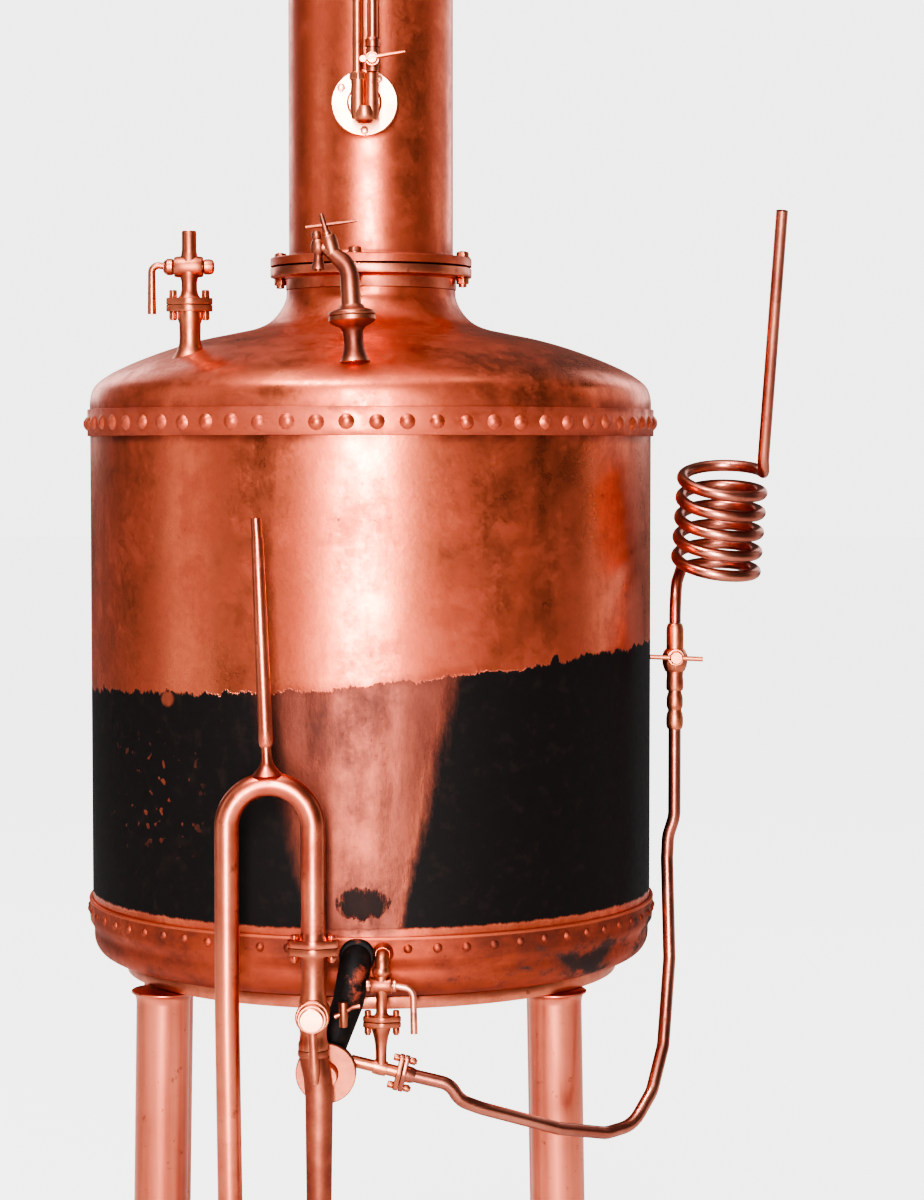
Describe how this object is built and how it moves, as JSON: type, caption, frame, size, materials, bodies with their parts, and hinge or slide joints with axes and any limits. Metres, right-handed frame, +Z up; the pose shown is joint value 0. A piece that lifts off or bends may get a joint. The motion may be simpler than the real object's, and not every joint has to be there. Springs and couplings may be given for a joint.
{
  "type": "alembic still",
  "caption": "Riveted copper pot still on tubular legs, with a domed lid, flanged rectifying column, swan neck, plug cocks, U-bend drain trap and a gauge coil on a riser.",
  "frame": {"origin": "on the floor, at the middle of the whole still's bounding box", "axes": "+Z up; -Y towards the front, where the drain cocks are; +X to the right, where the gauge coil stands"},
  "size_m": [0.6794, 0.6589, 1.7501],
  "materials": {
    "copper": "aged copper, heat-reddened, satin",
    "sooted_copper": "copper stained by soot, dull",
    "brass": "cast gunmetal, handled",
    "bronze": "drawn tube and cast flange, satin",
    "iron": "rough, oiled",
    "gasket": "matt"
  },
  "bodies": {
    "still": {"base_ring": "bronze", "branch_tee": "brass", "column_boss": "brass", "column_cock_body": "brass", "column_plate_1": "copper", "column_plate_2": "copper", "column_plate_3": "copper", "column_shell": "copper", "column_tee": "brass", "drain_pipe": "brass", "false_bottom": "copper", "foot_front_left": "iron", "foot_front_right": "iron", "foot_rear_left": "iron", "foot_rear_right": "iron", "gauge_coil": "copper", "gauge_pipe": "copper", "gooseneck_body": "brass", "gooseneck_stub": "brass", "head_dome": "copper", "head_gasket": "gasket", "leg_front_left": "bronze", "leg_front_right": "bronze", "leg_rear_left": "bronze", "leg_rear_right": "bronze", "lid_cock_body": "brass", "lid_cock_stub": "brass", "lid_dome": "copper", "main_cock_body": "brass", "neck_bolt_1": "brass", "neck_bolt_2": "brass", "neck_bolt_3": "brass", "neck_bolt_4": "brass", "neck_flange": "bronze", "neck_gasket": "gasket", "outlet_air_screw": "brass", "pan_outlet": "sooted_copper", "plate_tie_rod": "brass", "pot_drum": "copper", "pot_pan": "sooted_copper", "reflux_pipe": "copper", "riser_cock_body": "brass", "riser_union": "brass", "seam_strap": "copper", "small_cock_body": "brass", "swan_neck": "copper", "trap_pipe": "copper", "vent_tube": "copper"},
    "main_drain_plug": {"main_cock_plug": "brass", "main_cock_lever": "brass"},
    "small_drain_plug": {"small_cock_plug": "brass"},
    "riser_plug": {"riser_cock_plug": "brass"},
    "lid_plug": {"lid_cock_plug": "brass"},
    "gooseneck_plug": {"gooseneck_plug": "brass"},
    "column_plug": {"column_cock_plug": "brass"}
  },
  "joints": [
    {"name": "main_drain_turn", "type": "hinge", "parent": "still", "child": "main_drain_plug", "pos_m": [-0.0968, -0.2954, 0.4695], "axis": [0, -1, 0], "range_deg": [0, 90]},
    {"name": "small_drain_turn", "type": "hinge", "parent": "still", "child": "small_drain_plug", "pos_m": [-0.0373, -0.2574, 0.488], "axis": [-1, 0, 0], "range_deg": [0, 90]},
    {"name": "riser_turn", "type": "hinge", "parent": "still", "child": "riser_plug", "pos_m": [0.2417, -0.0554, 0.7715], "axis": [0, -1, 0], "range_deg": [0, 90]},
    {"name": "lid_turn", "type": "hinge", "parent": "still", "child": "lid_plug", "pos_m": [-0.2232, -0.0904, 1.1445], "axis": [-1, 0, 0], "range_deg": [0, 90]},
    {"name": "gooseneck_turn", "type": "hinge", "parent": "still", "child": "gooseneck_plug", "pos_m": [-0.0848, -0.1904, 1.158], "axis": [-0.2818, 0, 0.9595], "range_deg": [-90, 0]},
    {"name": "column_turn", "type": "hinge", "parent": "still", "child": "column_plug", "pos_m": [-0.0492, -0.0854, 1.34], "axis": [0, -1, 0], "range_deg": [-90, 0]}
  ]
}
